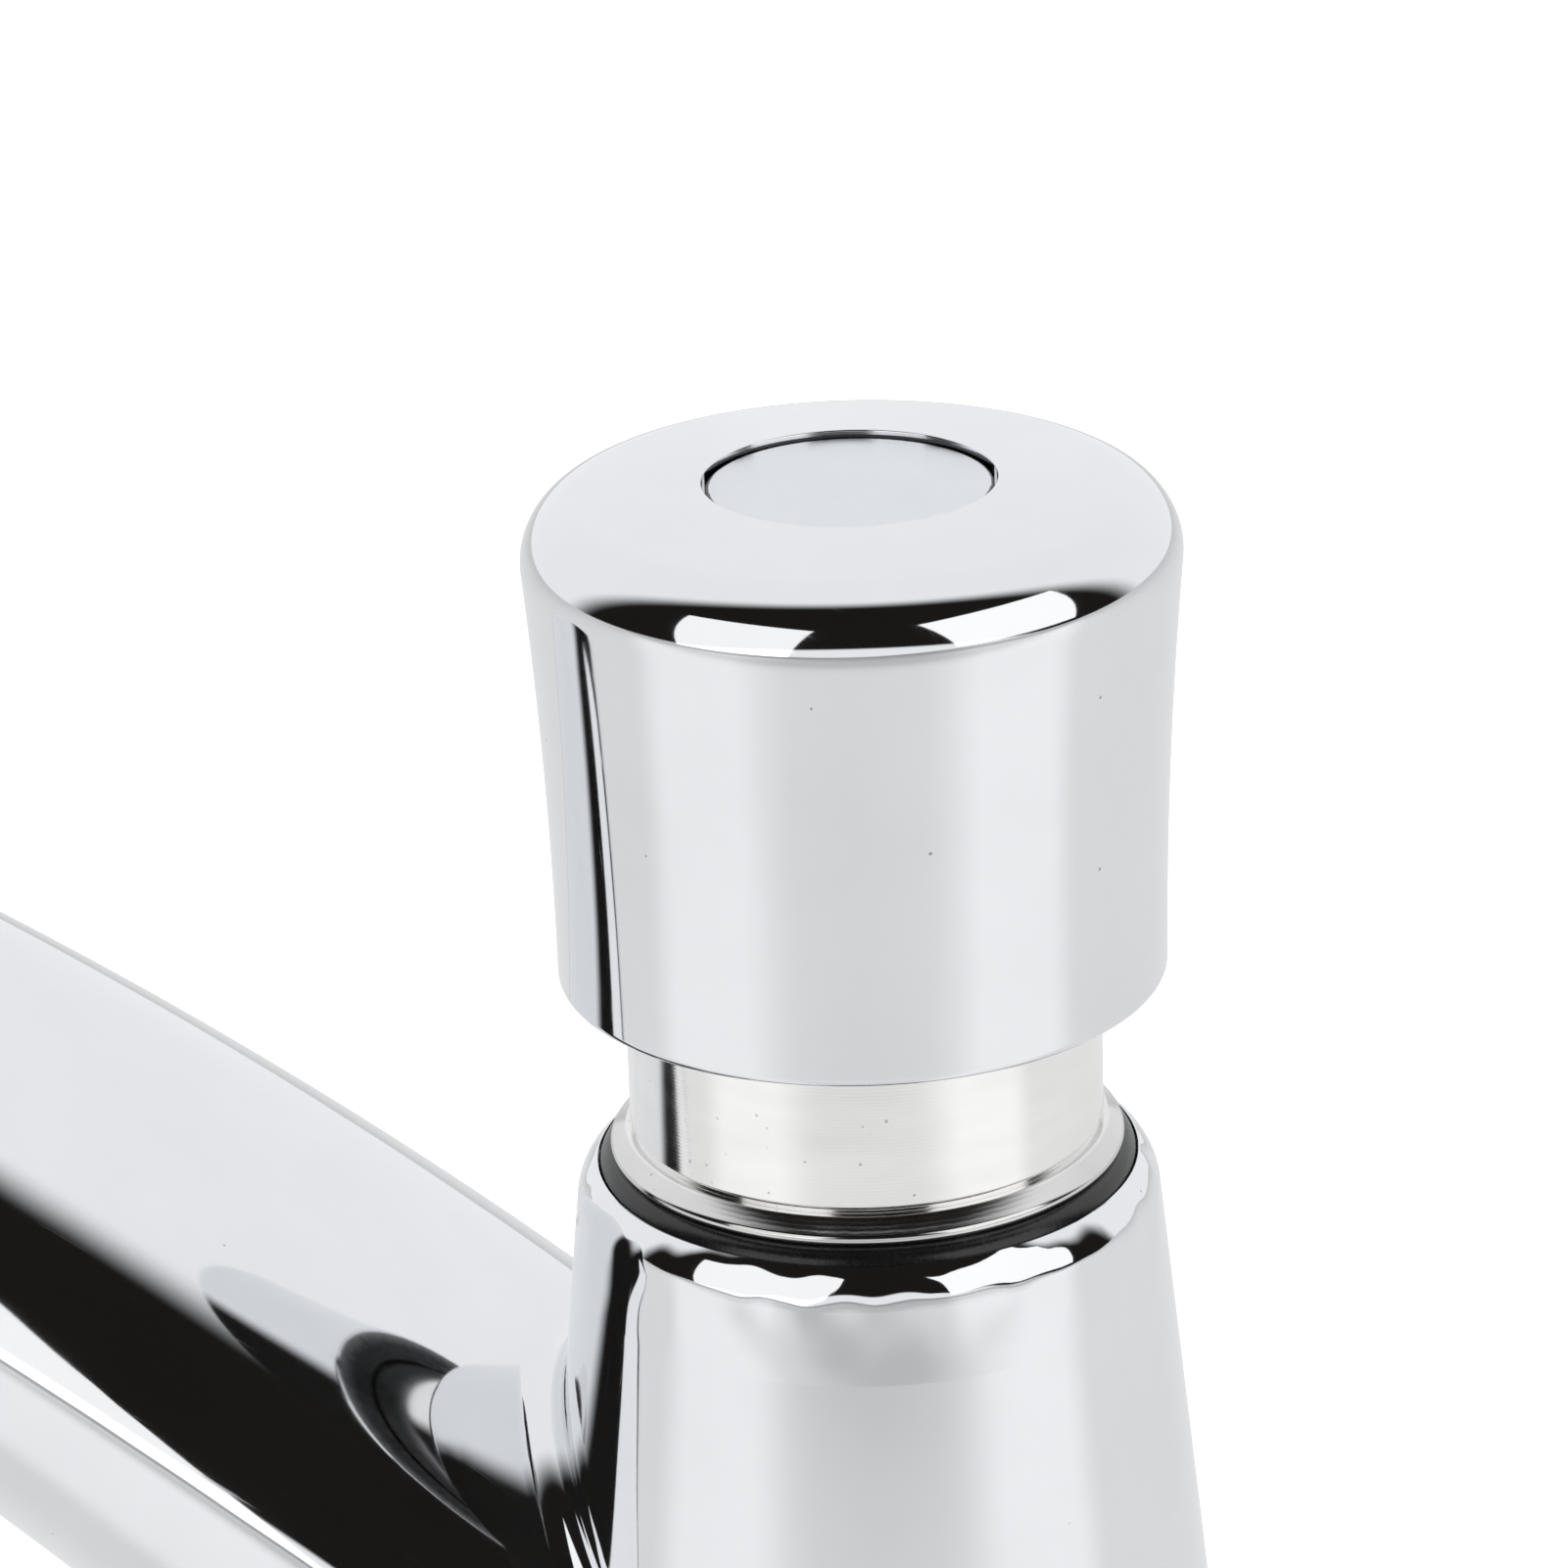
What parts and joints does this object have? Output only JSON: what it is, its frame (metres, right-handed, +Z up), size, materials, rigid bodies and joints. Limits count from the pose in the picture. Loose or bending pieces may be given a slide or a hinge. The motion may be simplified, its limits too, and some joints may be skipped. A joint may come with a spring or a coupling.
{
  "type": "push timed tap",
  "caption": "Deck-mounted push tap with a timed slow return: a flared push cap slides on a guide sleeve over a conical body with a rising, down-turned spout.",
  "frame": {"origin": "on the body's axis at the underside of the base gasket, which is the top of the deck", "axes": "+Z up along the body's axis; -Y towards the spout's outlet, the front; +X to the right as seen from the front"},
  "size_m": [0.0494, 0.1471, 0.1675],
  "materials": {
    "chrome": "polished plating on cast metal",
    "satin_nickel": "satin nickel plating on turned metal",
    "satin_silver": "satin",
    "brass": "turned",
    "steel": "plain",
    "black_rubber": "moulded",
    "pale_plastic": "moulded",
    "fibre": "pressed fibre"
  },
  "bodies": {
    "tap": {"tap_body": "chrome", "guide_sleeve": "satin_nickel", "rim_seal": "black_rubber", "cartridge_barrel": "pale_plastic", "barrel_o_ring": "black_rubber", "seat_ring": "steel", "stem_o_ring": "black_rubber", "stem_seal_washer": "steel", "return_spring": "steel", "inlet_shank": "brass", "shank_seal": "fibre", "inlet_strainer": "pale_plastic", "base_gasket": "black_rubber", "clamp_gasket": "black_rubber", "clamp_washer": "steel", "lock_nut": "brass", "aerator_shell": "chrome", "aerator_insert": "pale_plastic", "aerator_washer": "black_rubber"},
    "plunger": {"push_cap": "chrome", "cap_disc": "satin_silver", "cap_screw": "steel", "push_stem": "brass", "delay_piston": "pale_plastic", "cup_seal": "black_rubber", "timing_jet": "brass", "piston_clip": "steel", "valve_poppet": "brass", "valve_washer": "black_rubber", "poppet_nut": "steel"}
  },
  "joints": [
    {"name": "push_slide", "type": "slide", "parent": "tap", "child": "plunger", "axis": [0, 0, -1], "range_m": [0, 0.008], "stiffness_N_per_m": 1500, "springref_m": -0.006, "deforming": ["return_spring"]}
  ]
}
